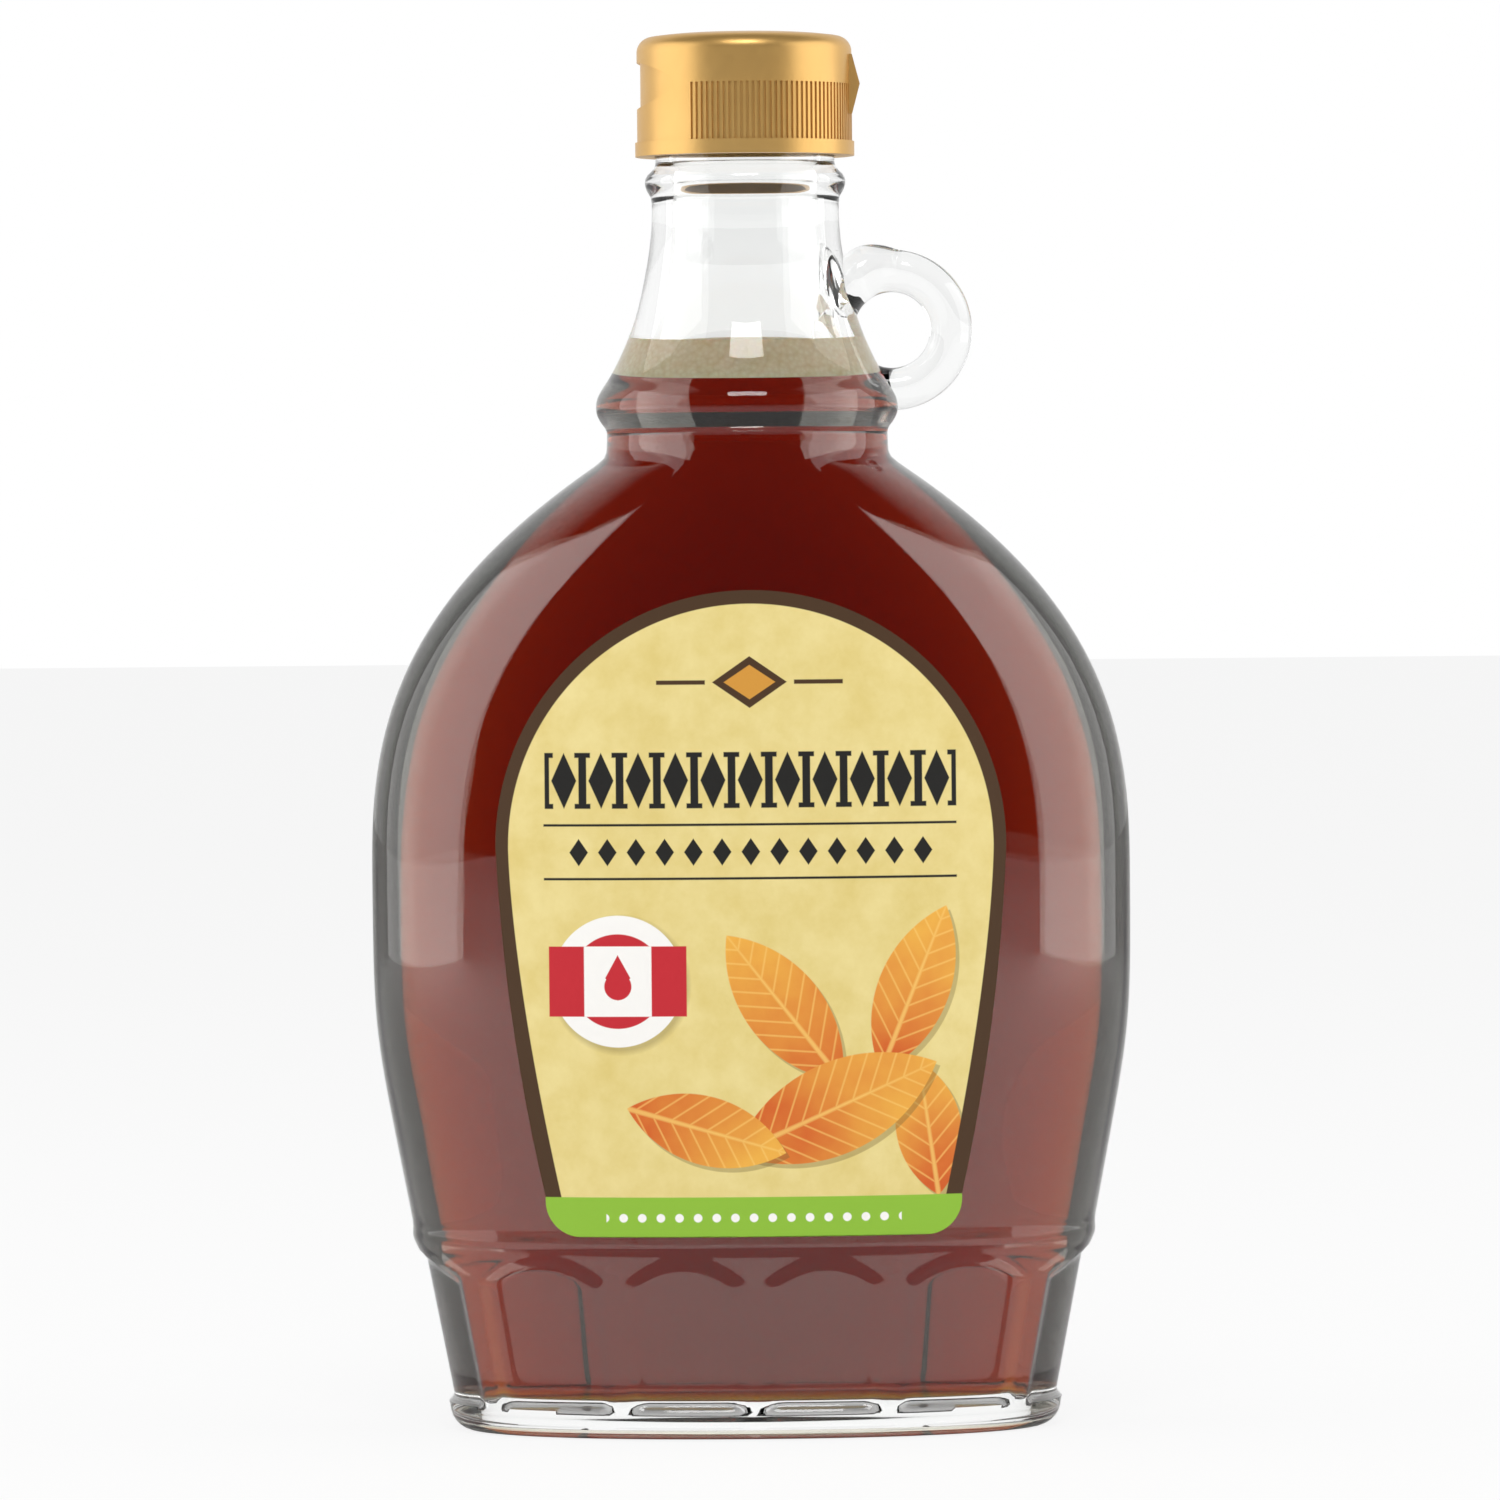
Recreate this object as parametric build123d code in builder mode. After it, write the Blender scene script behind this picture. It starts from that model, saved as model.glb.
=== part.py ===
"""Flask-shaped glass syrup bottle with a ring handle, filled, with a shut flip-top cap.

Millimetres.  The origin is the middle of the base, +Z is up, the labelled
front looks along -Y and the ring handle stands out along +X.
"""
from build123d import *
import os
from math import cos, exp, log, pi, sin

os.makedirs("parts", exist_ok=True)

# ---- glass body: an oval flask that widens from its base to its belly
BASE_HALF_WIDTH = 42.7
BASE_HALF_DEPTH = 21.8
BELLY_HALF_WIDTH = 53.7
BELLY_HALF_DEPTH = 23.4
TAPER_TOP = 57.0            # height where the straight taper meets the belly
TAPER_SOFTNESS = 4.0        # how gently it does
SHOULDER_START = 78.0       # height where the belly starts to close in
SHOULDER_END = 137.4        # height where the shoulder meets the groove
WIDTH_POWER = 2.7           # how late the shoulder closes, seen from the front
DEPTH_POWER = 3.2           # and seen from the side
GROOVE_RADIUS = 19.9        # round groove between the shoulder and the collar
GROOVE_SOFTNESS = 0.6
OVAL_POWER = 2.2            # 2 is an ellipse, more is squarer
HEEL_RADIUS = 2.6
WALL = 3.2
BASE_THICKNESS = 5.2
FLOOR_CORNER = 3.5          # rounding of the inside floor

# ---- belt bead above the flutes
BELT_HEIGHT = 27.4
BELT_HALF_SPAN = 2.4
BELT_RELIEF = 0.4

# ---- flutes: arched windows pressed into the foot of the body
FLUTE_FOOT = 4.6
FLUTE_SPRING = 22.0         # height where the arch springs from the sides
FLUTE_RISE = 3.3
FLUTE_PITCH = 20.1          # of the four across the front and the back
FLUTE_RIB = 3.0
FLUTE_DEPTH = 0.8
FLUTES_ACROSS = 4
END_FLUTE_HALF_WIDTH = 12.0
END_FLUTE_RISE = 3.9

# ---- collar, neck and finish, all round
COLLAR_FOOT = 141.3
COLLAR_HEIGHT = 144.6
COLLAR_RADIUS = 21.4
COLLAR_TOP = 148.2
COLLAR_TOP_RADIUS = 19.8
NECK_HEIGHT = 169.0         # height where the neck has come to its own radius
NECK_RADIUS = 13.3
NECK_BEAD_FOOT = 174.1
NECK_BEAD_HEIGHT = 176.2
NECK_BEAD_RADIUS = 14.2
NECK_BEAD_TOP = 178.2
FINISH_RADIUS = 12.7
NECK_WALL = 2.9
NECK_STEP = 0.25            # ledge where the round neck stands on the body
NECK_SINK = 3.0             # how far its foot reaches down into the shoulder
MOUTH_HEIGHT = 188.4

# ---- ring handle
RING_HEIGHT = 155.2
RING_OFFSET = 20.6          # of the ring's centre from the bottle's axis
RING_PATH_RADIUS = 8.35
RING_SECTION_RADIUS = 3.0
RING_HALF_SWEEP = 140       # degrees of the ring on each side of its outermost point
ROOT_RADIUS = 4.3           # where the upper arm spreads on the neck
ROOT_RISE = 1.1

# ---- contents
SYRUP_LEVEL = 147.6
FOAM_THICKNESS = 5.7

# ---- cap
CAP_RADIUS = 15.2           # of the plain band between flange and lid
CAP_FLANGE_RADIUS = 15.5
CAP_FLANGE_HEIGHT = 2.0
CAP_FOOT = 179.9
CAP_SEAM = 189.9
CAP_TOP = 197.3
CAP_BORE_CLEARANCE = 0.15
CAP_SHELL = 1.3
LID_EDGE_RADIUS = 2.2
LID_CROWN = 0.5
RIB_RELIEF = 0.3
RIBS_PER_TURN = 118
PLAIN_BAND_ANGLE = 116.0    # degrees without ribs, around the thumb recess
RECESS_HALF_WIDTH = 11.5
RECESS_HALF_HEIGHT = 3.3
RECESS_DEPTH = 0.5
HINGE_HALF_WIDTH = 3.5
HINGE_HALF_HEIGHT = 4.2
HINGE_RELIEF = 1.1

# ---- label
LABEL_THICKNESS = 0.15
LABEL_FOOT = 28.6
LABEL_WAIST = 83.0
LABEL_TOP = 118.8
LABEL_FOOT_HALF_WIDTH = 29.1
LABEL_WAIST_HALF_WIDTH = 35.7
LABEL_CORNER_RADIUS = 5.0
LABEL_BAND = 5.6            # upright foot of the label's sides
LABEL_SIDE_BULGE = 1.1      # how far the leaning sides stand out from a straight line
LABEL_STATIONS = 13

BODY_TOP = SHOULDER_END + 2.0
STATIONS = 18
OVAL_POINTS = 20


def softplus(value, softness):
    """Zero below nought and the value itself above, with a rounded corner between."""
    return softness * log(1 + exp(value / softness))


def outline(height, base, belly, power):
    """Half width or half depth of the glass body at a height."""
    slope = (belly - base) / TAPER_TOP
    rise = max(0.0, (height - SHOULDER_START) / (SHOULDER_END - SHOULDER_START))
    size = belly - slope * softplus(TAPER_TOP - height, TAPER_SOFTNESS)
    size -= (belly - GROOVE_RADIUS) * rise**power
    return GROOVE_RADIUS + softplus(size - GROOVE_RADIUS, GROOVE_SOFTNESS)


def oval_points(height, growth):
    """Points round the body's section, grown outwards (or, if negative, inwards)."""
    half_width = outline(height, BASE_HALF_WIDTH, BELLY_HALF_WIDTH, WIDTH_POWER) + growth
    half_depth = outline(height, BASE_HALF_DEPTH, BELLY_HALF_DEPTH, DEPTH_POWER) + growth
    roundness = min(1.0, max(0.0, (height - SHOULDER_START) / (SHOULDER_END - SHOULDER_START)))
    power = 2 / (OVAL_POWER + (2 - OVAL_POWER) * roundness)
    points = []
    for step in range(OVAL_POINTS):
        turn = 2 * pi * step / OVAL_POINTS
        across, along = cos(turn), sin(turn)
        x = half_width * abs(across) ** power * (1 if across > 0 else -1)
        y = half_depth * abs(along) ** power * (1 if along > 0 else -1)
        points.append((x, y))
    return points


def oval_section(height, growth):
    """Face of the body's section at a height."""
    with BuildSketch(Plane.XY.offset(height)) as section:
        with BuildLine():
            Spline(*oval_points(height, growth), periodic=True)
        make_face()
    return section.sketch.faces()[0]


def body_heights(foot):
    """Heights for the loft's sections, closer together where the shoulder is steep."""
    return [foot + (BODY_TOP - foot) * sin(pi / 2 * step / STATIONS) for step in range(STATIONS + 1)]


def body_loft_sections(foot, growth):
    """Faces for a loft of the whole body from a foot height upwards."""
    return [oval_section(height, growth) for height in body_heights(foot)]


# ---- the body's outside, before the flutes are pressed in
with BuildPart() as body_blank:
    loft(sections=body_loft_sections(0.0, 0.0))
    fillet(body_blank.edges().group_by(Axis.Z)[0], radius=HEEL_RADIUS)
    belt_steps = (-1.0, -0.5, 0.0, 0.5, 1.0)
    belt = [
        oval_section(BELT_HEIGHT + BELT_HALF_SPAN * step, BELT_RELIEF * cos(pi / 2 * step) ** 2 - 0.05)
        for step in belt_steps
    ]
    loft(sections=belt)

# ---- what stays inside the flutes' floors
with BuildPart() as flute_core:
    core_heights = [FLUTE_FOOT * step for step in range(-1, 9)]
    loft(sections=[oval_section(height, -FLUTE_DEPTH) for height in core_heights])


def flute_outline(centre, half_width, rise):
    """Window with an arched top, whose sides lean in with the body's taper."""
    foot_width = outline(FLUTE_FOOT, BASE_HALF_WIDTH, BELLY_HALF_WIDTH, WIDTH_POWER)
    spring_width = outline(FLUTE_SPRING, BASE_HALF_WIDTH, BELLY_HALF_WIDTH, WIDTH_POWER)
    lean = foot_width / spring_width
    left, right = centre - half_width, centre + half_width
    foot = Polyline(
        (left, FLUTE_SPRING),
        (left * lean, FLUTE_FOOT),
        (right * lean, FLUTE_FOOT),
        (right, FLUTE_SPRING),
    )
    ThreePointArc(foot @ 1, (centre, FLUTE_SPRING + rise), foot @ 0)


with BuildPart() as flute_cutter:
    with BuildSketch(Plane.XZ):
        for place in range(FLUTES_ACROSS):
            middle = FLUTE_PITCH * (place - (FLUTES_ACROSS - 1) / 2)
            with BuildLine():
                flute_outline(middle, (FLUTE_PITCH - FLUTE_RIB) / 2, FLUTE_RISE)
            make_face()
    extrude(amount=2 * BELLY_HALF_DEPTH, both=True)
    with BuildSketch(Plane.YZ):
        with BuildLine():
            flute_outline(0.0, END_FLUTE_HALF_WIDTH, END_FLUTE_RISE)
        make_face()
    extrude(amount=2 * BELLY_HALF_WIDTH, both=True)
    add(flute_core.part, mode=Mode.SUBTRACT)


def neck_profile(inset):
    """Half outline of collar and neck, from the groove up to the neck bead."""
    collar = ThreePointArc(
        (GROOVE_RADIUS - inset, COLLAR_FOOT),
        (COLLAR_RADIUS - inset, COLLAR_HEIGHT),
        (COLLAR_TOP_RADIUS - inset, COLLAR_TOP),
    )
    flare = NECK_HEIGHT - COLLAR_TOP
    return Bezier(
        collar @ 1,
        (COLLAR_TOP_RADIUS - inset - 0.5 * flare * 0.45, COLLAR_TOP + 0.42 * flare),
        (NECK_RADIUS - inset, COLLAR_TOP + 0.62 * flare),
        (NECK_RADIUS - inset, NECK_HEIGHT),
    )


# ---- the round upper glass, outside
with BuildPart() as neck_blank:
    with BuildSketch(Plane.XZ):
        with BuildLine():
            neck = neck_profile(0.0)
            bead_foot = Line(neck @ 1, (NECK_RADIUS, NECK_BEAD_FOOT))
            bead = ThreePointArc(
                bead_foot @ 1, (NECK_BEAD_RADIUS, NECK_BEAD_HEIGHT), (FINISH_RADIUS, NECK_BEAD_TOP)
            )
            Polyline(
                bead @ 1,
                (FINISH_RADIUS, MOUTH_HEIGHT),
                (0, MOUTH_HEIGHT),
                (0, BODY_TOP - NECK_SINK),
                (GROOVE_RADIUS - NECK_STEP, BODY_TOP - NECK_SINK),
                (GROOVE_RADIUS - NECK_STEP, COLLAR_FOOT),
                (GROOVE_RADIUS, COLLAR_FOOT),
            )
        make_face()
    revolve(axis=Axis.Z)

# ---- the space inside the glass
with BuildPart() as cavity:
    loft(sections=body_loft_sections(BASE_THICKNESS, -WALL))
    fillet(cavity.edges().group_by(Axis.Z)[0], radius=FLOOR_CORNER)
    with BuildSketch(Plane.XZ):
        with BuildLine():
            bore = NECK_RADIUS - NECK_WALL
            inner_flare = Bezier(
                (GROOVE_RADIUS - WALL - NECK_STEP, BODY_TOP - NECK_SINK),
                (GROOVE_RADIUS - WALL - NECK_STEP, COLLAR_TOP),
                (bore, COLLAR_TOP + 4.0),
                (bore, NECK_HEIGHT - 2.0),
            )
            Polyline(inner_flare @ 1, (bore, MOUTH_HEIGHT), (0, MOUTH_HEIGHT), (0, BODY_TOP - NECK_SINK), inner_flare @ 0)
        make_face()
    revolve(axis=Axis.Z)

# ---- ring handle, a closed ring that sinks into the neck and the collar
with BuildPart() as ring:
    ring_centre = (RING_OFFSET, RING_HEIGHT)
    with BuildLine(Plane.XZ):
        ring_path = CenterArc(ring_centre, RING_PATH_RADIUS, -RING_HALF_SWEEP, 2 * RING_HALF_SWEEP)
    with BuildSketch(Plane(origin=ring_path @ 0, z_dir=ring_path % 0)):
        Circle(RING_SECTION_RADIUS)
    sweep(path=ring_path)
    arm_height = RING_HEIGHT + RING_PATH_RADIUS
    root_foot = Plane(origin=(NECK_RADIUS - NECK_WALL / 2, 0, arm_height + ROOT_RISE), z_dir=(1, 0, 0))
    root_tip = Plane(origin=(RING_OFFSET + 1.5, 0, arm_height), z_dir=(1, 0, 0))
    with BuildSketch(root_foot):
        Circle(ROOT_RADIUS)
    with BuildSketch(root_tip):
        Circle(RING_SECTION_RADIUS - 0.4)
    loft()

# ---- the one piece of glass
with BuildPart() as bottle_glass:
    add(neck_blank.part)
    add(ring.part)
    add(body_blank.part)
    add(flute_cutter.part, mode=Mode.SUBTRACT)
    add(cavity.part, mode=Mode.SUBTRACT)
bottle_glass.part.label = "bottle_glass"

# ---- syrup and the foam on it, as the glass holds them
with BuildPart() as syrup:
    add(cavity.part)
    split(bisect_by=Plane.XY.offset(SYRUP_LEVEL), keep=Keep.BOTTOM)
syrup.part.label = "syrup"

with BuildPart() as foam:
    add(cavity.part)
    split(bisect_by=Plane.XY.offset(SYRUP_LEVEL), keep=Keep.TOP)
    split(bisect_by=Plane.XY.offset(SYRUP_LEVEL + FOAM_THICKNESS), keep=Keep.BOTTOM)
foam.part.label = "foam"

# ---- thumb recess that runs over both halves of the cap
with BuildPart() as thumb_recess:
    with BuildSketch(Plane.YZ.offset(-CAP_RADIUS - 2)):
        with Locations((0, CAP_SEAM)):
            Ellipse(RECESS_HALF_WIDTH, RECESS_HALF_HEIGHT)
    extrude(amount=CAP_RADIUS)
    with BuildSketch(Plane.XY.offset(CAP_FOOT)):
        Circle(CAP_RADIUS - RECESS_DEPTH)
    extrude(amount=CAP_TOP - CAP_FOOT, mode=Mode.SUBTRACT)


def hinge_half(seam_side):
    """Triangle of the hinge bump, above (+1) or below (-1) the seam."""
    Polyline(
        (CAP_RADIUS - 1.0, CAP_SEAM),
        (CAP_RADIUS + HINGE_RELIEF, CAP_SEAM),
        (CAP_RADIUS, CAP_SEAM + seam_side * HINGE_HALF_HEIGHT),
        (CAP_RADIUS - 1.0, CAP_SEAM + seam_side * HINGE_HALF_HEIGHT),
        close=True,
    )


# ---- cap base: ribbed skirt with a deck over the mouth
with BuildPart() as cap_base:
    with BuildSketch(Plane.XY.offset(CAP_FOOT)):
        Circle(CAP_FLANGE_RADIUS)
    extrude(amount=CAP_FLANGE_HEIGHT)
    with BuildSketch(Plane.XY.offset(CAP_FOOT)):
        Circle(CAP_RADIUS)
        rib_count = int(RIBS_PER_TURN * (360 - PLAIN_BAND_ANGLE) / 360)
        rib_step = 360 / RIBS_PER_TURN
        first_rib = -rib_step * (rib_count - 1) / 2
        groove_width = pi * CAP_RADIUS / RIBS_PER_TURN
        with PolarLocations(CAP_RADIUS, rib_count, start_angle=first_rib, angular_range=rib_step * rib_count):
            Rectangle(2 * RIB_RELIEF, groove_width, mode=Mode.SUBTRACT)
    extrude(amount=CAP_SEAM - CAP_FOOT)
    with BuildSketch(Plane.XZ):
        with BuildLine():
            hinge_half(-1)
        make_face()
    extrude(amount=HINGE_HALF_WIDTH, both=True)
    with BuildSketch(Plane.XY.offset(CAP_FOOT)):
        Circle(FINISH_RADIUS + CAP_BORE_CLEARANCE)
    extrude(amount=MOUTH_HEIGHT - CAP_FOOT, mode=Mode.SUBTRACT)
    add(thumb_recess.part, mode=Mode.SUBTRACT)
cap_base.part.label = "cap_base"

# ---- flip lid, shut
with BuildPart() as cap_lid:
    with BuildSketch(Plane.XZ):
        with BuildLine():
            lid_side = CAP_TOP - LID_CROWN - LID_EDGE_RADIUS
            wall_up = Line((CAP_RADIUS, CAP_SEAM), (CAP_RADIUS, lid_side))
            edge = RadiusArc(
                wall_up @ 1, (CAP_RADIUS - LID_EDGE_RADIUS, lid_side + LID_EDGE_RADIUS), -LID_EDGE_RADIUS
            )
            crown = Spline(edge @ 1, (0, CAP_TOP), tangents=[(-1, 0.15), (-1, 0)])
            inner = CAP_RADIUS - CAP_SHELL
            Polyline(
                crown @ 1,
                (0, CAP_TOP - LID_CROWN - CAP_SHELL),
                (inner, CAP_TOP - LID_CROWN - CAP_SHELL - 1),
                (inner, CAP_SEAM),
                (CAP_RADIUS, CAP_SEAM),
            )
        make_face()
    revolve(axis=Axis.Z)
    with BuildSketch(Plane.XZ):
        with BuildLine():
            hinge_half(1)
        make_face()
    extrude(amount=HINGE_HALF_WIDTH, both=True)
    add(thumb_recess.part, mode=Mode.SUBTRACT)
cap_lid.part.label = "cap_lid"

# ---- label, a thin skin on the front of the body
with BuildPart() as label:
    label_span = LABEL_TOP - LABEL_FOOT
    label_step = (label_span + 4 * LABEL_CORNER_RADIUS) / (LABEL_STATIONS - 1)
    label_start = LABEL_FOOT - LABEL_CORNER_RADIUS
    label_heights = [label_start + label_step * step for step in range(LABEL_STATIONS)]
    loft(sections=[oval_section(height, LABEL_THICKNESS) for height in label_heights])
    add(body_blank.part, mode=Mode.SUBTRACT)
    with BuildSketch(Plane.XZ):
        with BuildLine():
            corner = LABEL_CORNER_RADIUS
            foot_line = Line(
                (corner - LABEL_FOOT_HALF_WIDTH, LABEL_FOOT), (LABEL_FOOT_HALF_WIDTH - corner, LABEL_FOOT)
            )
            right_corner = TangentArc(
                foot_line @ 1, (LABEL_FOOT_HALF_WIDTH, LABEL_FOOT + corner), tangent=(1, 0)
            )
            right_foot = Line(right_corner @ 1, (LABEL_FOOT_HALF_WIDTH, LABEL_FOOT + LABEL_BAND))
            side_middle = (
                (LABEL_FOOT_HALF_WIDTH + LABEL_WAIST_HALF_WIDTH) / 2 + LABEL_SIDE_BULGE,
                (LABEL_FOOT + LABEL_BAND + LABEL_WAIST) / 2,
            )
            right_side = ThreePointArc(
                right_foot @ 1, side_middle, (LABEL_WAIST_HALF_WIDTH, LABEL_WAIST)
            )
            arch = ThreePointArc(
                right_side @ 1, (0, LABEL_TOP), (-LABEL_WAIST_HALF_WIDTH, LABEL_WAIST)
            )
            left_side = ThreePointArc(
                arch @ 1, (-side_middle[0], side_middle[1]), (-LABEL_FOOT_HALF_WIDTH, LABEL_FOOT + LABEL_BAND)
            )
            left_foot = Line(left_side @ 1, (-LABEL_FOOT_HALF_WIDTH, LABEL_FOOT + corner))
            TangentArc(left_foot @ 1, foot_line @ 0, tangent=(0, -1))
        make_face()
    extrude(amount=2 * BELLY_HALF_DEPTH, mode=Mode.INTERSECT)
label.part.label = "label"

for piece in (bottle_glass, syrup, foam, cap_base, cap_lid, label):
    export_step(piece.part, f"parts/{piece.part.label}.step")
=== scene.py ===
"""Looks of a filled glass syrup bottle: glass, syrup, foam, gold cap and printed label."""
import random
from math import cos, exp, log, pi, radians, sin

import bpy
from mathutils import Euler, Matrix, Vector


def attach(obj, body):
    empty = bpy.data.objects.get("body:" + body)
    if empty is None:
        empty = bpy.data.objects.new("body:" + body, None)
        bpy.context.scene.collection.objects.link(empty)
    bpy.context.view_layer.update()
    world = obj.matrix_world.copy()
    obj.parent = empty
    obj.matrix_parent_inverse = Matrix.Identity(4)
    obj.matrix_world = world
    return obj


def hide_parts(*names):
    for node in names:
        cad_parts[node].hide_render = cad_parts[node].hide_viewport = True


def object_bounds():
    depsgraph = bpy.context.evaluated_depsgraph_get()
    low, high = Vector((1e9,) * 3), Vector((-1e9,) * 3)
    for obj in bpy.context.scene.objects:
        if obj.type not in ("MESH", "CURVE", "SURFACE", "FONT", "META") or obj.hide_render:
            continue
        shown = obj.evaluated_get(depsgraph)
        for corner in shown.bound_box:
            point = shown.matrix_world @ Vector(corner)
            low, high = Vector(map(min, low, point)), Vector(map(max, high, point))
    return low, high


MM = 0.001
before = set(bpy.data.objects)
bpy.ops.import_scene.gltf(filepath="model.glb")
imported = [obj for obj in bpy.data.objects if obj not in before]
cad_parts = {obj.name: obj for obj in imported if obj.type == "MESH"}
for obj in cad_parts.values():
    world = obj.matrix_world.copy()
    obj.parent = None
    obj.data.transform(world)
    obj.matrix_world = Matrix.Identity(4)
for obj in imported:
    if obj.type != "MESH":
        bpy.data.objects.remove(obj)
cad_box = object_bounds()
scene = bpy.context.scene


# ---------------------------------------------------------------- shader maths
class Value:
    """A number on a socket. Sums written with it add Math nodes."""

    def __init__(self, tree, socket):
        self.tree = tree
        self.socket = socket

    def math(self, operation, *others, clamp=False):
        node = self.tree.nodes.new("ShaderNodeMath")
        node.operation = operation
        node.use_clamp = clamp
        for place, item in enumerate((self,) + others):
            if isinstance(item, Value):
                self.tree.links.new(item.socket, node.inputs[place])
            else:
                node.inputs[place].default_value = item
        return Value(self.tree, node.outputs[0])

    def swapped(self, operation, other):
        node = self.tree.nodes.new("ShaderNodeMath")
        node.operation = operation
        node.inputs[0].default_value = other
        self.tree.links.new(self.socket, node.inputs[1])
        return Value(self.tree, node.outputs[0])

    def __add__(self, other):
        return self.math("ADD", other)

    def __sub__(self, other):
        return self.math("SUBTRACT", other)

    def __mul__(self, other):
        return self.math("MULTIPLY", other)

    def __truediv__(self, other):
        return self.math("DIVIDE", other)

    def __pow__(self, other):
        return self.math("POWER", other)

    def __neg__(self):
        return self.math("MULTIPLY", -1.0)

    def __abs__(self):
        return self.math("ABSOLUTE")

    def __rsub__(self, other):
        return self.swapped("SUBTRACT", other)

    __radd__ = __add__
    __rmul__ = __mul__

    def most(self, other):
        return self.math("MAXIMUM", other)

    def least(self, other):
        return self.math("MINIMUM", other)

    def wrap(self, low, high):
        return self.math("WRAP", high, low)

    def clamped(self):
        return self.math("ADD", 0.0, clamp=True)


class Finish:
    """A material with its Principled shader and one way of adding any other node."""

    def __init__(self, name, **constants):
        self.material = bpy.data.materials.new(name)
        self.material.use_nodes = True
        self.tree = self.material.node_tree
        self.shader = self.tree.nodes["Principled BSDF"]
        self.output = self.tree.nodes["Material Output"]
        for socket, value in constants.items():
            self.shader.inputs[socket.replace("_", " ")].default_value = value

    def node(self, kind, settings=None, sockets=None):
        node = self.tree.nodes.new("ShaderNode" + kind)
        for key, value in (settings or {}).items():
            if key == "stops":
                ramp = node.color_ramp
                while len(ramp.elements) < len(value):
                    ramp.elements.new(0.5)
                for element, (place, colour) in zip(ramp.elements, value):
                    element.position = place
                    element.color = (*colour, 1.0)
            else:
                setattr(node, key, value)
        for key, value in (sockets or {}).items():
            self.put(node.inputs[key], value)
        return node

    def put(self, socket, value):
        if isinstance(value, Value):
            value = value.socket
        if isinstance(value, bpy.types.NodeSocket):
            self.tree.links.new(value, socket)
        else:
            socket.default_value = value

    def set(self, socket, value):
        self.put(self.shader.inputs[socket], value)

    def value(self, socket):
        return Value(self.tree, socket)

    def place(self):
        """Object coordinates, in metres."""
        return self.node("TexCoord").outputs["Object"]

    def xyz_mm(self):
        split = self.node("SeparateXYZ", sockets={"Vector": self.place()})
        return [self.value(split.outputs[axis]) * 1000.0 for axis in "XYZ"]

    def noise(self, scale, detail=2.0, roughness=0.5, vector=None):
        sockets = {"Vector": vector or self.place(), "Scale": scale, "Detail": detail, "Roughness": roughness}
        return self.value(self.node("TexNoise", sockets=sockets).outputs["Fac"])

    def mix(self, factor, first, second):
        """Colour between two colours."""
        node = self.node("Mix", {"data_type": "RGBA"}, {0: factor})
        self.put(node.inputs[6], first)
        self.put(node.inputs[7], second)
        return node.outputs[2]

    def bump(self, height, strength, distance):
        node = self.node("Bump", sockets={"Height": height, "Strength": strength, "Distance": distance})
        self.set("Normal", node.outputs["Normal"])


def colour(red, green, blue, alpha=1.0):
    """Shader colour from the 0 to 255 values a screen shows."""
    def linear(level):
        level /= 255
        return level / 12.92 if level <= 0.04045 else ((level + 0.055) / 1.055) ** 2.4
    return (linear(red), linear(green), linear(blue), alpha)


# ---------------------------------------------------------------- pieces
def pick(piece):
    """Make a piece the only selected and the active object."""
    bpy.ops.object.select_all(action="DESELECT")
    piece.select_set(True)
    bpy.context.view_layer.objects.active = piece


def welded_copy(node, name, smooth_angle):
    """Copy of a CAD node with its loose triangles joined, shaded smooth up to an angle."""
    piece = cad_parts[node].copy()
    piece.data = piece.data.copy()
    piece.name = name
    piece.parent = None
    for key in list(piece.keys()):
        del piece[key]
    piece.data.materials.clear()
    scene.collection.objects.link(piece)
    pick(piece)
    bpy.ops.object.mode_set(mode="EDIT")
    bpy.ops.mesh.select_all(action="SELECT")
    bpy.ops.mesh.remove_doubles(threshold=0.002 * MM)
    bpy.ops.object.mode_set(mode="OBJECT")
    bpy.ops.mesh.customdata_custom_splitnormals_clear()
    bpy.ops.object.shade_smooth_by_angle(angle=radians(smooth_angle))
    return piece


def stand_for(piece, node, finish):
    """Dress a piece and let it stand for a CAD node."""
    piece.data.materials.clear()
    piece.data.materials.append(finish.material)
    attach(piece, "root")
    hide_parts(node)


# ---------------------------------------------------------------- finishes
def clear_glass():
    """Thick pressed glass, faintly wavy."""
    finish = Finish("clear_glass", Roughness=0.015, IOR=1.5, Transmission_Weight=1.0)
    finish.set("Base Color", (0.985, 0.99, 0.985, 1.0))
    waves = finish.noise(45.0, detail=1.0)
    finish.bump(waves, 0.25, 0.6 * MM)
    return finish


def dark_syrup():
    """Clear dark syrup: maroon in depth, amber where it is thin."""
    finish = Finish("dark_syrup", Roughness=0.0, IOR=1.47, Transmission_Weight=1.0)
    finish.set("Base Color", (1.0, 1.0, 1.0, 1.0))
    volume = finish.node("VolumeAbsorption", sockets={"Color": (0.93, 0.80, 0.0, 1.0), "Density": 800.0})
    finish.tree.links.new(volume.outputs["Volume"], finish.output.inputs["Volume"])
    return finish


def fine_foam():
    """Cream foam of fine bubbles."""
    finish = Finish("fine_foam", Roughness=0.55, Subsurface_Weight=0.3, Subsurface_Scale=0.004)
    cells = finish.node("TexVoronoi", {"feature": "F1"}, {"Vector": finish.place(), "Scale": 1400.0})
    cell = finish.value(cells.outputs["Distance"])
    cloud = finish.noise(260.0, detail=3.0)
    shade = (cell * 0.6 + cloud * 0.7).clamped()
    finish.set("Base Color", finish.mix(shade, colour(250, 240, 214), colour(226, 203, 156)))
    finish.bump(cell, 0.5, 0.3 * MM)
    return finish


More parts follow.
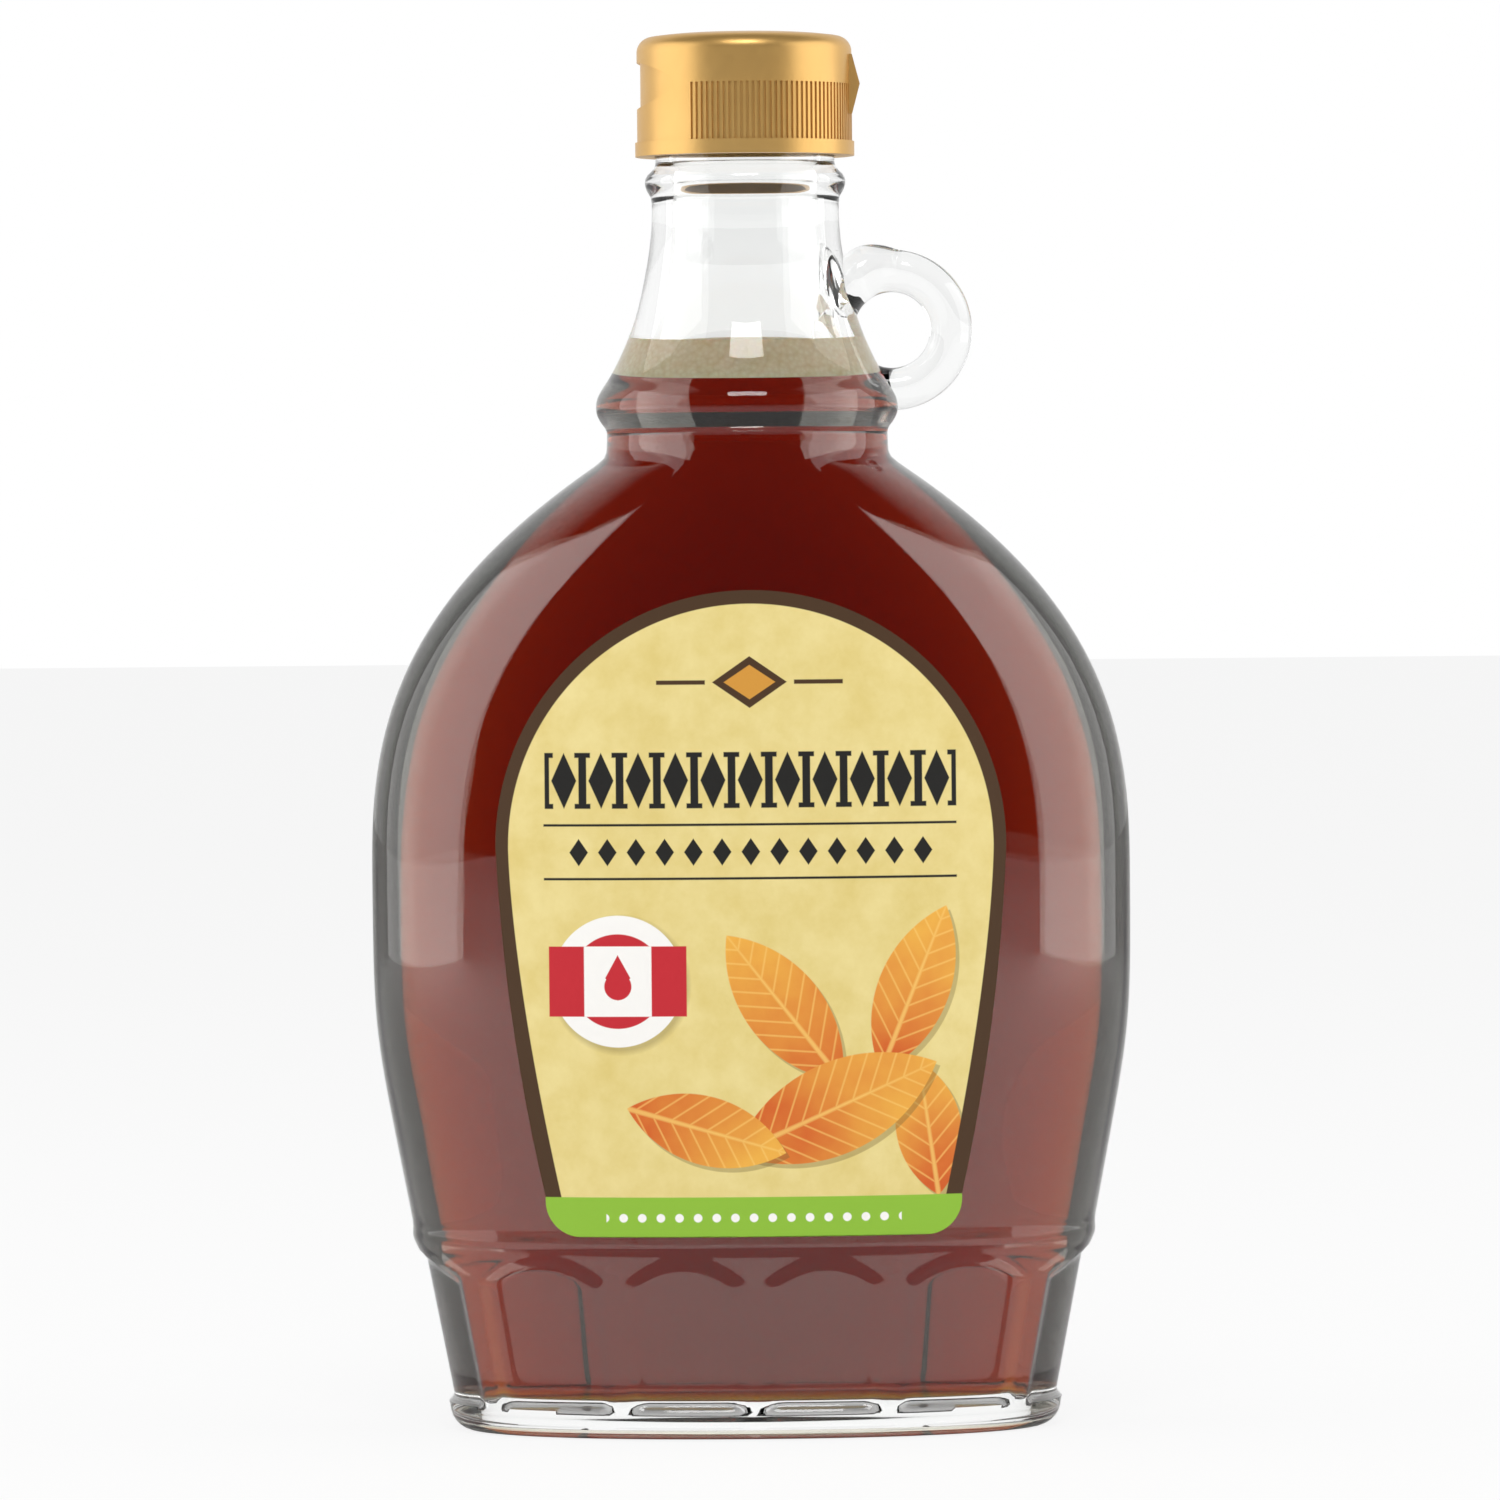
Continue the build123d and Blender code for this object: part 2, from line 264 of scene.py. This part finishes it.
def satin_gold():
    """Gold-coloured moulded plastic with a satin sheen."""
    finish = Finish("satin_gold", Metallic=0.72, Roughness=0.34)
    grain = finish.noise(900.0, detail=3.0)
    drift = finish.noise(60.0, detail=2.0)
    finish.set("Base Color", finish.mix(drift, colour(214, 166, 92), colour(232, 190, 118)))
    finish.set("Roughness", grain * 0.12 + 0.30)
    finish.bump(grain, 0.12, 0.05 * MM)
    return finish


# ---------------------------------------------------------------- printed label
PAPER = colour(226, 204, 124)
PAPER_LIGHT = colour(238, 220, 150)
BORDER = colour(72, 44, 8)
BLACK = colour(16, 14, 10)
GREEN = colour(143, 192, 51)
RED = colour(200, 24, 40)
WHITE = colour(250, 248, 244)

ARCH_CENTRE = 83.0
ARCH_RADIUS = 35.7
SIDE_LEAN = 6.8
SIDE_SPAN = 47.7
BORDER_WIDTH = 1.8
BAND_TOP = 34.2
# leaves of the printed spray: centre x and z, turn in degrees, half length, half width
LEAVES = (
    (22.5, 63.0, 68.0, 12.5, 5.0),
    (4.5, 60.5, 128.0, 13.0, 5.4),
    (24.5, 43.5, 98.0, 9.5, 4.6),
    (11.5, 46.5, 24.0, 15.5, 6.4),
    (-6.5, 43.5, -16.0, 11.5, 4.8),
)


class Print:
    """Fields of ink laid over each other on the paper."""

    def __init__(self, finish, ground):
        self.finish = finish
        self.shown = ground
        self.x, _, self.z = finish.xyz_mm()

    def inked(self, edge, softness=0.12):
        """Mask that is 1 inside an edge, given as a distance that is negative inside."""
        return (edge * (-1.0 / softness) + 0.5).clamped()

    def ink(self, mask, shade):
        self.shown = self.finish.mix(mask, self.shown, shade)

    def bar(self, centre_x, centre_z, half_x, half_z):
        return (abs(self.x - centre_x) - half_x).most(abs(self.z - centre_z) - half_z)

    def disc(self, centre_x, centre_z, radius):
        across, up = self.x - centre_x, self.z - centre_z
        return (across * across + up * up) ** 0.5 - radius

    def lozenge(self, across, up, half_x, half_z):
        return (abs(across) / half_x + abs(up) / half_z - 1.0) * min(half_x, half_z)

    def leaf(self, centre_x, centre_z, turn, half_length, half_width):
        """Pointed oval with a midrib and side veins."""
        across, up = self.x - centre_x, self.z - centre_z
        along = across * cos(radians(turn)) + up * sin(radians(turn))
        aside = abs(up * cos(radians(turn)) - across * sin(radians(turn)))
        radius = (half_length**2 + half_width**2) / (2 * half_width)
        reach = aside + (radius - half_width)
        edge = (along * along + reach * reach) ** 0.5 - radius
        midrib = aside - (along * -0.012 + 0.22)
        veins = abs((along - aside * 0.9).wrap(-1.3, 1.3)) - 0.12
        tint = (along * (0.5 / half_length) + self.finish.noise(110.0, detail=3.0)).clamped()
        return self.inked(edge), self.inked(midrib.least(veins), 0.3), tint


def printed_label():
    """Embossed tan paper with a dark border, an ornamental frieze, a badge, leaves and a green foot."""
    finish = Finish("printed_label", Roughness=0.6)
    emboss = finish.noise(170.0, detail=4.0, roughness=0.6)
    fibres = finish.noise(900.0, detail=2.0)
    art = Print(finish, finish.mix((emboss * 2.4 - 0.7).clamped(), PAPER, PAPER_LIGHT))
    x, z = art.x, art.z

    for middle_x, middle_z, turn, half_length, half_width in LEAVES:
        inside, lines, tint = art.leaf(middle_x, middle_z, turn, half_length, half_width)
        shadow = art.leaf(middle_x + 0.5, middle_z - 0.6, turn, half_length, half_width)[0]
        art.ink(shadow * 0.45, colour(120, 96, 40))
        flesh = finish.mix(tint, colour(214, 92, 18), colour(242, 178, 66))
        art.ink(inside, finish.mix(lines * 0.7, flesh, colour(250, 206, 110)))

    frieze = abs(z - 92.4) - 3.9
    row = x.wrap(-2.6, 2.6)
    bars = abs(abs(row) - 2.6) - 0.55
    diamonds = art.lozenge(row, z - 92.4, 1.75, 3.9)
    caps = (abs(abs(z - 92.4) - 3.55) - 0.35).most(abs(abs(row) - 2.6) - 1.1)
    figure = bars.least(diamonds).least(caps).most(frieze).most(abs(x) - 28.7)
    art.ink(art.inked(figure), BLACK)
    for rule_height in (86.2, 78.7):
        art.ink(art.inked(art.bar(-0.1, rule_height, 28.8, 0.17)), BLACK)
    beads = art.lozenge(x.wrap(-2.0, 2.0), z - 82.4, 1.3, 1.9).most(abs(x) - 26.0)
    art.ink(art.inked(beads), BLACK)

    crest = art.lozenge(x, z - 106.0, 5.2, 3.6)
    art.ink(art.inked(crest), BORDER)
    art.ink(art.inked(art.lozenge(x, z - 106.0, 3.6, 2.4)), colour(214, 150, 50))
    wings = (abs(z - 106.0) - 0.3).most(abs(abs(x) - 9.6) - 3.4)
    art.ink(art.inked(wings), BORDER)

    badge_x, badge_z = -18.7, 64.4
    # painted shadow: a faint dark disc offset down and to the right, laid under the badge as its drop shadow
    badge_shadow = art.disc(badge_x + 0.4, badge_z - 0.5, 9.5)
    art.ink(art.inked(badge_shadow, 0.9) * 0.4, colour(110, 90, 40))
    art.ink(art.inked(art.disc(badge_x, badge_z, 9.2)), WHITE)
    art.ink(art.inked(art.disc(badge_x, badge_z, 6.6)), RED)
    art.ink(art.inked(art.bar(badge_x, badge_z, 9.6, 4.9)), RED)
    art.ink(art.inked(art.bar(badge_x, badge_z, 4.7, 4.9)), WHITE)
    drop = art.disc(badge_x, badge_z - 0.7, 1.9)
    tip = art.lozenge(x - badge_x, z - badge_z - 0.5, 1.75, 3.2)
    art.ink(art.inked(drop.least(tip)), RED)

    fall = ((ARCH_CENTRE - z).most(0.0) * (1.0 / SIDE_SPAN)) ** 1.5
    rise = (z - ARCH_CENTRE).most(0.0)
    outline = (x * x + rise * rise) ** 0.5 - (ARCH_RADIUS - BORDER_WIDTH) + fall * SIDE_LEAN
    art.ink(art.inked(-outline), BORDER)

    art.ink(art.inked(z - BAND_TOP), GREEN)
    dots = ((x.wrap(-1.3, 1.3) ** 2.0) + (z - 31.3) ** 2.0) ** 0.5 - 0.6
    art.ink(art.inked(dots.most(abs(x) - 20.6)), WHITE)

    finish.set("Base Color", art.shown)
    finish.bump(emboss * 0.8 + fibres * 0.2, 0.35, 0.35 * MM)
    return finish


# ---------------------------------------------------------------- the bottle
# the glass outline in millimetres: foot, belly, shoulder and neck of one oval flask
BASE_HALF_WIDTH, BASE_HALF_DEPTH = 42.7, 21.8
BELLY_HALF_WIDTH, BELLY_HALF_DEPTH = 53.7, 23.4
TAPER_TOP, TAPER_SOFTNESS = 57.0, 4.0
SHOULDER_START, SHOULDER_END = 78.0, 137.4
WIDTH_POWER, DEPTH_POWER = 2.7, 3.2
GROOVE_RADIUS = 19.9
OVAL_POWER = 2.2
HEEL_RADIUS = 2.6
WALL = 3.2
BASE_THICKNESS = 5.2
FLOOR_CORNER = 3.5
BELT_HEIGHT, BELT_RELIEF, BELT_SPAN = 27.4, 0.38, 1.3
FLUTE_FOOT, FLUTE_SPRING, FLUTE_RISE = 4.6, 22.0, 3.3
FLUTE_PITCH, FLUTE_HALF_WIDTH, END_FLUTE_HALF_WIDTH = 20.1, 8.55, 12.0
FLUTE_DEPTH, FLUTE_BEVEL = 0.95, 1.25
# radii of the round glass above the groove
COLLAR = ((139.2, 19.9), (141.3, 19.95), (142.4, 20.7), (143.5, 21.25), (144.6, 21.4), (145.8, 21.2),
          (147.0, 20.6), (148.2, 19.8), (150.0, 18.75), (152.0, 17.75), (155.0, 16.45), (158.0, 15.45),
          (161.0, 14.7), (164.0, 14.1), (167.0, 13.6), (170.0, 13.3), (173.2, 13.25), (174.2, 13.4),
          (175.2, 13.95), (176.2, 14.2), (177.2, 13.9), (178.0, 13.1), (178.8, 12.7), (181.0, 12.7),
          (188.35, 12.7))
NECK_INSIDE = ((139.2, 16.7), (142.0, 16.6), (146.0, 16.2), (149.0, 15.3), (152.0, 14.0), (156.0, 12.6),
               (160.0, 11.5), (164.0, 10.8), (168.0, 10.45), (174.0, 10.4), (188.35, 10.4))
SEGMENTS = 320


def softplus(value, softness):
    return softness * log(1 + exp(value / softness))


def body_outline(height, base, belly, power):
    """Half width or half depth of the body at a height."""
    slope = (belly - base) / TAPER_TOP
    rise = max(0.0, (height - SHOULDER_START) / (SHOULDER_END - SHOULDER_START))
    size = belly - slope * softplus(TAPER_TOP - height, TAPER_SOFTNESS)
    size -= (belly - GROOVE_RADIUS) * rise**power
    return GROOVE_RADIUS + softplus(size - GROOVE_RADIUS, 0.6)


def smooth_radius(stations, height):
    """Radius between stations, on a smooth curve through them."""
    last = len(stations) - 1
    place = max(i for i in range(last) if stations[i][0] <= height or i == 0)
    picks = [stations[min(max(place + step, 0), last)] for step in (-1, 0, 1, 2)]
    (h0, r0), (h1, r1), (h2, r2), (h3, r3) = picks
    span = h2 - h1
    t = min(1.0, max(0.0, (height - h1) / span))
    start = (r2 - r0) / (h2 - h0) * span
    end = (r3 - r1) / (h3 - h1) * span
    return ((2 * t**3 - 3 * t**2 + 1) * r1 + (t**3 - 2 * t**2 + t) * start
            + (3 * t**2 - 2 * t**3) * r2 + (t**3 - t**2) * end)


def flute_press(x, y, height, width_share):
    """How deep the flutes press in at a point of the foot, with bevelled edges."""
    if not FLUTE_FOOT - 1 < height < FLUTE_SPRING + 5:
        return 0.0
    lean = width_share
    end_zone = abs(y) < END_FLUTE_HALF_WIDTH + 1.0 and abs(x) > 30.0
    across, half = (abs(y), END_FLUTE_HALF_WIDTH) if end_zone else (0.0, FLUTE_HALF_WIDTH)
    if not end_zone:
        place = x / lean
        nearest = min(max(round(place / FLUTE_PITCH - 0.5), -2), 1) + 0.5
        across = abs(place - nearest * FLUTE_PITCH)
    rise = FLUTE_RISE * (1.15 if end_zone else 1.0)
    radius = (half**2 + rise**2) / (2 * rise)
    arch = (across**2 + max(0.0, height - FLUTE_SPRING + radius - rise) ** 2) ** 0.5 - radius
    inside = min(half - across, -arch if height > FLUTE_SPRING - 2 else half, (height - FLUTE_FOOT + 0.6) * 1.5)
    share = min(1.0, max(0.0, inside / FLUTE_BEVEL))
    return FLUTE_DEPTH * share


def glass_ring(height, turn, inset, pressed):
    """Point of the body's section at a height, moved in by an inset."""
    belt = BELT_RELIEF * exp(-(((height - BELT_HEIGHT) / BELT_SPAN) ** 2)) if pressed else 0.0
    half_width = body_outline(height, BASE_HALF_WIDTH, BELLY_HALF_WIDTH, WIDTH_POWER) - inset + belt
    half_depth = body_outline(height, BASE_HALF_DEPTH, BELLY_HALF_DEPTH, DEPTH_POWER) - inset + belt
    roundness = min(1.0, max(0.0, (height - SHOULDER_START) / (SHOULDER_END - SHOULDER_START)))
    power = 2 / (OVAL_POWER + (2 - OVAL_POWER) * roundness)
    x = half_width * abs(cos(turn)) ** power * (1 if cos(turn) > 0 else -1)
    y = half_depth * abs(sin(turn)) ** power * (1 if sin(turn) > 0 else -1)
    if pressed:
        share = half_width / body_outline(FLUTE_SPRING, BASE_HALF_WIDTH, BELLY_HALF_WIDTH, WIDTH_POWER)
        press = flute_press(x, y, height, share)
        if press:
            normal_x, normal_y = x / half_width**2, y / half_depth**2
            size = (normal_x**2 + normal_y**2) ** 0.5
            x -= press * normal_x / size
            y -= press * normal_y / size
    return x, y


def stations(low, high, step):
    count = max(1, round((high - low) / step))
    return [low + (high - low) * place / count for place in range(count)]


def body_rings(foot, corner, inset, pressed):
    """Rings of points from the middle of a floor, round its corner and up to the groove."""
    rings = []
    for share in (0.25, 0.5, 0.7, 0.85, 0.95):
        rings.append([(x * share, y * share, foot) for x, y in floor_ring(foot, corner, inset)])
    for step in range(7):
        bend = pi / 2 * step / 6
        height = foot + corner * (1 - cos(bend))
        pull = inset + corner * (1 - sin(bend))
        rings.append([(*glass_ring(height, turn, pull, False), height) for turn in turns()])
    low = stations(foot + corner + 0.3, 30.0, 0.55)
    high = stations(30.0, 80.0, 2.2) + stations(80.0, 118.0, 1.6) + stations(118.0, 139.0, 0.8)
    for height in low + high:
        rings.append([(*glass_ring(height, turn, inset, pressed), height) for turn in turns()])
    return rings


def turns():
    return [2 * pi * step / SEGMENTS for step in range(SEGMENTS)]


def floor_ring(foot, corner, inset):
    return [glass_ring(foot, turn, inset + corner, False) for turn in turns()]


def round_rings(radii, step):
    low, high = radii[0][0], radii[-1][0]
    rings = []
    for height in stations(low, high, step) + [high]:
        radius = smooth_radius(radii, height)
        rings.append([(radius * cos(turn), radius * sin(turn), height) for turn in turns()])
    return rings


def skin(name, rings, smooth_angle=180):
    """Closed skin over rings of points, from a first pole to a last one."""
    mesh = bpy.data.meshes.new(name)
    points = [point for ring in rings for point in ring]
    middle = [sum(part) / SEGMENTS for part in zip(*rings[0])], [sum(part) / SEGMENTS for part in zip(*rings[-1])]
    first, last = len(points), len(points) + 1
    points += [tuple(middle[0]), tuple(middle[1])]
    faces = []
    for row in range(len(rings) - 1):
        for step in range(SEGMENTS):
            after = (step + 1) % SEGMENTS
            low, high = row * SEGMENTS, (row + 1) * SEGMENTS
            faces.append((low + step, low + after, high + after, high + step))
    top = (len(rings) - 1) * SEGMENTS
    for step in range(SEGMENTS):
        after = (step + 1) % SEGMENTS
        faces.append((after, step, first))
        faces.append((top + step, top + after, last))
    mesh.from_pydata([(x * MM, y * MM, z * MM) for x, y, z in points], [], faces)
    piece = bpy.data.objects.new(name, mesh)
    scene.collection.objects.link(piece)
    pick(piece)
    bpy.ops.object.mode_set(mode="EDIT")
    bpy.ops.mesh.select_all(action="SELECT")
    bpy.ops.mesh.normals_make_consistent(inside=False)
    bpy.ops.object.mode_set(mode="OBJECT")
    bpy.ops.object.shade_smooth()
    return piece


def glass_rings():
    outside = body_rings(0.0, HEEL_RADIUS, 0.0, True) + round_rings(COLLAR, 0.5)
    inside = body_rings(BASE_THICKNESS, FLOOR_CORNER, WALL, False) + round_rings(NECK_INSIDE, 1.6)
    return outside + inside[::-1]


RING_CENTRE = (20.6, 0.0, 155.2)
RING_RADIUS, RING_SECTION = 8.35, 3.0


def ring_handle():
    """Solid glass ring whose upper arm spreads where it meets the neck."""
    bpy.ops.mesh.primitive_torus_add(
        major_radius=RING_RADIUS * MM, minor_radius=RING_SECTION * MM,
        major_segments=96, minor_segments=40, rotation=(pi / 2, 0, 0),
        location=[part * MM for part in RING_CENTRE],
    )
    ring = bpy.context.object
    bpy.ops.object.transform_apply(location=True, rotation=True, scale=True)
    for vertex in ring.data.vertices:
        x, y, z = vertex.co / MM
        out = RING_CENTRE[0] + 1.0 - x
        arm = z - RING_CENTRE[2]
        if out > 0 and arm > 2:
            spread = 1 + 0.055 * out**1.25
            middle = RING_CENTRE[2] + RING_RADIUS
            vertex.co.z = (middle + (z - middle) * 1.0 + 0.30 * out * max(0.0, (arm - 6) / 5)) * MM
            vertex.co.y = y * min(spread, 1.5) * MM
    return ring


def dress_glass():
    glass = skin("glass_bottle", glass_rings())
    ring = ring_handle()
    pick(glass)
    join = glass.modifiers.new("handle", "BOOLEAN")
    join.operation = "UNION"
    join.solver = "EXACT"
    join.object = ring
    bpy.ops.object.modifier_apply(modifier=join.name)
    bpy.data.objects.remove(ring)
    bpy.ops.object.shade_smooth_by_angle(angle=radians(50))
    stand_for(glass, "bottle_glass", clear_glass())


FILL_REACH = 0.12
SYRUP_LEVEL, FOAM_TOP = 147.6, 153.3


def level_rings(rings, low, high):
    """Rings between two levels, ended by a ring on each."""
    def at(level):
        radius = smooth_radius(NECK_INSIDE, level) + FILL_REACH
        return [(radius * cos(turn), radius * sin(turn), level) for turn in turns()]
    kept = [ring for ring in rings if low < ring[0][2] < high - 0.2]
    return ([at(low)] if low > BASE_THICKNESS else []) + kept + [at(high)]


def dress_contents():
    inside = body_rings(BASE_THICKNESS - FILL_REACH, FLOOR_CORNER, WALL - FILL_REACH, False)
    wall = [(height, radius + FILL_REACH) for height, radius in NECK_INSIDE]
    inside += round_rings(wall, 0.8)
    syrup = skin("syrup_fill", level_rings(inside, 0.0, SYRUP_LEVEL))
    foam = skin("foam_layer", level_rings(inside, SYRUP_LEVEL, FOAM_TOP))
    for piece, node, finish in ((syrup, "syrup", dark_syrup()), (foam, "foam", fine_foam())):
        pick(piece)
        bpy.ops.object.shade_smooth_by_angle(angle=radians(50))
        stand_for(piece, node, finish)


def dress_cap():
    gold = satin_gold()
    for node, name in (("cap_base", "cap_skirt"), ("cap_lid", "flip_lid")):
        piece = welded_copy(node, name, 30)
        stand_for(piece, node, gold)


def dress_label():
    label = welded_copy("label", "paper_label", 50)
    stand_for(label, "label", printed_label())


dress_glass()
dress_contents()
dress_cap()
dress_label()


# ---------------------------------------------------------------- stage, light and camera
def plain_stage():
    """Pale floor that keeps the shadow and shows white behind the object."""
    bpy.ops.mesh.primitive_plane_add(size=12.0, location=(0, 0, cad_box[0][2]))
    floor = bpy.context.object
    floor.name = "floor"
    finish = Finish("pale_floor", Roughness=0.9)
    finish.set("Base Color", (0.9, 0.9, 0.9, 1.0))
    glow = finish.node("Emission", sockets={"Color": (1.0, 1.0, 1.0, 1.0), "Strength": 1.0})
    path = finish.node("LightPath")
    seen = finish.value(path.outputs["Is Camera Ray"])
    behind = (finish.xyz_mm()[1] * 0.02 + 0.2).clamped()
    seen = seen.most(finish.value(path.outputs["Is Transmission Ray"]) * behind)
    mixed = finish.node("MixShader", sockets={0: seen * 0.85})
    finish.tree.links.new(finish.shader.outputs[0], mixed.inputs[1])
    finish.tree.links.new(glow.outputs[0], mixed.inputs[2])
    finish.tree.links.new(mixed.outputs[0], finish.output.inputs["Surface"])
    floor.data.materials.append(finish.material)


def world_light():
    """White behind the object, a dim room in front of it."""
    world = bpy.data.worlds.new("room")
    scene.world = world
    world.use_nodes = True
    tree = world.node_tree
    tree.nodes.clear()
    output = tree.nodes.new("ShaderNodeOutputWorld")
    path = tree.nodes.new("ShaderNodeLightPath")
    place = tree.nodes.new("ShaderNodeTexCoord")
    split = tree.nodes.new("ShaderNodeSeparateXYZ")
    tree.links.new(place.outputs["Generated"], split.inputs[0])
    depth = Value(tree, split.outputs["Y"])
    back = (depth * 2.5 - 0.6).clamped()
    through = (depth * 3.0 + 0.4).clamped()
    glossy = Value(tree, path.outputs["Is Glossy Ray"])
    passed = Value(tree, path.outputs["Is Transmission Ray"])
    seen = Value(tree, path.outputs["Is Camera Ray"])
    mirrored = glossy * (back * 0.8 + 0.03) + (1.0 - glossy) * 0.5
    level = (1.0 - seen) * (passed * (through * 0.96 + 0.04) + (1.0 - passed) * mirrored) + seen
    sky = tree.nodes.new("ShaderNodeBackground")
    sky.inputs["Color"].default_value = (1.0, 1.0, 1.0, 1.0)
    tree.links.new(level.socket, sky.inputs["Strength"])
    tree.links.new(sky.outputs[0], output.inputs["Surface"])


def softbox(name, centre, target, width, height, power):
    data = bpy.data.lights.new(name, "AREA")
    data.shape = "RECTANGLE"
    data.size = width
    data.size_y = height
    data.energy = power
    lamp = bpy.data.objects.new(name, data)
    lamp.location = centre
    lamp.rotation_euler = (Vector(target) - Vector(centre)).to_track_quat("-Z", "Y").to_euler()
    scene.collection.objects.link(lamp)


CAMERA_DISTANCE = 1.27
CAMERA_HEIGHT = 0.1313
AIM_HEIGHT = 0.0959
FRAME_WIDTH = 0.2125
SENSOR = 36.0
LEAN = radians(0.5)


def camera():
    data = bpy.data.cameras.new("camera")
    data.sensor_width = SENSOR
    data.lens = SENSOR * CAMERA_DISTANCE / FRAME_WIDTH
    eye = bpy.data.objects.new("camera", data)
    eye.location = (0.0, -CAMERA_DISTANCE, CAMERA_HEIGHT)
    view = Vector((0.0, CAMERA_DISTANCE, AIM_HEIGHT - CAMERA_HEIGHT))
    turn = view.to_track_quat("-Z", "Y").to_matrix() @ Matrix.Rotation(-LEAN, 3, "Z")
    eye.rotation_euler = turn.to_euler()
    scene.collection.objects.link(eye)
    scene.camera = eye


plain_stage()
world_light()
middle = (0.0, 0.0, 0.1)
softbox("left_box", (-0.95, -0.1, 0.25), middle, 1.1, 1.2, 7.0)
softbox("right_box", (0.95, -0.1, 0.25), middle, 1.1, 1.2, 7.0)
softbox("front_box", (0.0, -1.1, 1.3), middle, 0.7, 0.4, 8.0)
camera()
scene.view_settings.view_transform = "Standard"
